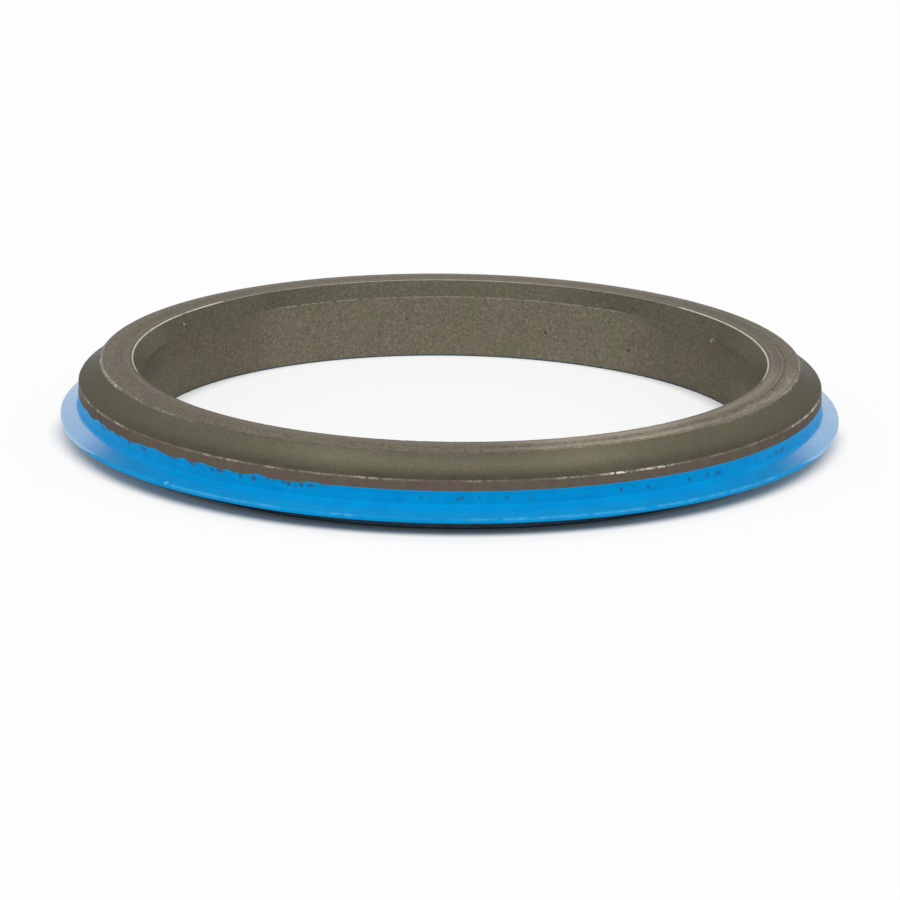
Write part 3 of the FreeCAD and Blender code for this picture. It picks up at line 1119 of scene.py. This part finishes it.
def floor_material(settings):
    """Plain pale floor that looks almost white to the camera, but for the contact shadow under the lip, whose
    border is drawn round the axis. Under the lip the floor is painted a warmer shadow hue, and next to the
    foot it is painted darker as shade.

    The share of white is 0 from the bore's wall to the shadow's border, which lies shadow_front |y| / r
    nearer to the axis than at the sides. Inside the bore it rises over a width that is larger at the sides.
    """
    material, graph = new_material("pale_floor")
    place = graph.place()
    from_axis = graph.vector("LENGTH", place, (0.0, 0.0, 0.0), output="Value")
    in_bore = graph.math("LESS_THAN", from_axis, BORE_FLOOR)
    foot_shade_scale = graph.largest(graph.step(from_axis, *FOOT_SHADE_SPAN, FOOT_SHADE_LIGHT, 1.0), in_bore)
    unshaded = graph.largest(graph.step(from_axis, *SHADOW_COLOUR_END), in_bore)
    colour = graph.scaled(graph.blend(unshaded, settings.shadow_colour, settings.floor_colour), foot_shade_scale)
    sockets = {"Base Color": colour, "Roughness": FLOOR_ROUGHNESS, "Specular IOR Level": 0.0}
    dull = graph.add("ShaderNodeBsdfPrincipled", sockets)
    white = graph.add("ShaderNodeEmission", {"Color": WHITE, "Strength": 1.0})

    radius = graph.vector("DISTANCE", place, (-settings.shadow_shift, 0.0, 0.0), output="Value")
    depth = graph.math("ABSOLUTE", graph.add("ShaderNodeSeparateXYZ", {"Vector": place}).outputs["Y"])
    frontness = graph.math("DIVIDE", depth, radius)
    past = graph.math("SUBTRACT", radius, settings.shadow_radius)
    past = graph.math("MULTIPLY_ADD", frontness, settings.shadow_front, past)
    soft = graph.math("MULTIPLY_ADD", frontness, -settings.shadow_crisp, settings.shadow_soft)
    outside = graph.step(graph.math("DIVIDE", past, soft), -1.0, 1.0)
    bright_from = graph.math("MULTIPLY_ADD", frontness, BORE_SHADOW_FRONT, BORE_RADIUS - BORE_SHADOW_WIDTH)
    inside = graph.step(radius, BORE_SHADOW_START, bright_from, 0.0, BORE_WHITE)
    white_share = graph.product(graph.largest(inside, outside), settings.floor_white)
    mixed = graph.add("ShaderNodeMixShader", {"Fac": graph.product(seen_directly(graph), white_share)})
    graph.put(dull.outputs["BSDF"], mixed.inputs[1])
    graph.put(white.outputs["Emission"], mixed.inputs[2])
    graph.add("ShaderNodeOutputMaterial", {"Surface": mixed.outputs["Shader"]})
    return material


def studio_world(settings):
    """White surroundings with a round dark part of the ceiling behind the ring."""
    world = bpy.data.worlds.new("white_studio")
    world.use_nodes = True
    world.node_tree.nodes.clear()
    graph = Graph(world.node_tree)
    direction = graph.add("ShaderNodeTexCoord").outputs["Generated"]
    middle = (0.0, math.cos(settings.ceiling_rise), math.sin(settings.ceiling_rise))
    nearness = graph.vector("DOT_PRODUCT", direction, middle, output="Value")
    outer = math.cos(settings.ceiling_reach + settings.ceiling_soft)
    inner = math.cos(settings.ceiling_reach)
    brightness = graph.step(nearness, outer, inner, 1.0, settings.ceiling)
    level = graph.stretch(seen_directly(graph), settings.ambient, 1.0)
    strength = graph.product(brightness, level)
    background = graph.add("ShaderNodeBackground", {"Color": WHITE, "Strength": strength})
    graph.add("ShaderNodeOutputWorld", {"Surface": background.outputs["Background"]})
    return world


def softbox(settings):
    """A wide softbox above and in front of the ring, which faces it."""
    light = bpy.data.lights.new("softbox", "AREA")
    light.shape = "RECTANGLE"
    light.size = settings.softbox_width
    light.size_y = settings.softbox_depth
    light.energy = settings.softbox_power
    lamp = bpy.data.objects.new("softbox", light)
    rise, side = settings.softbox_rise, settings.softbox_side
    ahead = Vector((math.sin(side) * math.cos(rise), -math.cos(side) * math.cos(rise), math.sin(rise)))
    lamp.location = settings.softbox_distance * ahead
    lamp.rotation_euler = ahead.to_track_quat("Z", "Y").to_euler()
    return lamp


class SEALING_RING_OT_stage(bpy.types.Operator):
    """Makes the floor, the light and the camera"""

    bl_idname = "sealing_ring.stage"
    bl_label = "Stage"

    def execute(self, context):
        settings = context.scene.ring_stage
        scene = context.scene
        mesh = bpy.data.meshes.new("floor")
        sides = ((-1, -1), (1, -1), (1, 1), (-1, 1))
        mesh.from_pydata([(x * FLOOR_REACH, y * FLOOR_REACH, 0) for x, y in sides], [], [(0, 1, 2, 3)])
        mesh.materials.append(floor_material(settings))
        floor = bpy.data.objects.new("floor", mesh)
        lens = bpy.data.cameras.new("photo_camera")
        lens.lens = settings.focal_length
        lens.sensor_width = SENSOR_WIDTH
        camera = bpy.data.objects.new("photo_camera", lens)
        camera.matrix_world = camera_matrix(settings)
        for thing in (floor, camera, softbox(settings)):
            scene.collection.objects.link(thing)
        scene.camera = camera
        scene.world = studio_world(settings)
        scene.view_settings.view_transform = "Standard"
        return {"FINISHED"}


class SEALING_RING_PT_panel(bpy.types.Panel):
    """Lists the sizes, the finishes and the pieces"""

    bl_idname = "SEALING_RING_PT_panel"
    bl_label = "Sealing ring"
    bl_space_type = "VIEW_3D"
    bl_region_type = "UI"
    bl_category = "Sealing ring"

    def draw(self, context):
        layout = self.layout
        for name, group in SETTINGS.items():
            box = layout.box()
            for setting in group.__annotations__:
                box.prop(getattr(context.scene, name), setting)
        for operator in (SEALING_RING_OT_steel, SEALING_RING_OT_lip, SEALING_RING_OT_stage):
            layout.operator(operator.bl_idname)


SETTINGS = {
    "ring_sizes": RingSizes,
    "steel_finish": SteelFinish,
    "lip_finish": LipFinish,
    "ring_stage": StageSettings,
}
CLASSES = (
    *SETTINGS.values(),
    SEALING_RING_OT_steel,
    SEALING_RING_OT_lip,
    SEALING_RING_OT_stage,
    SEALING_RING_PT_panel,
)


def register():
    for cls in CLASSES:
        bpy.utils.register_class(cls)
    for name, group in SETTINGS.items():
        setattr(bpy.types.Scene, name, PointerProperty(type=group))


def unregister():
    for name in SETTINGS:
        delattr(bpy.types.Scene, name)
    for cls in reversed(CLASSES):
        bpy.utils.unregister_class(cls)


def main():
    register()
    bpy.ops.sealing_ring.steel()
    bpy.ops.sealing_ring.lip()
    bpy.ops.sealing_ring.stage()


if __name__ == "__main__":
    main()
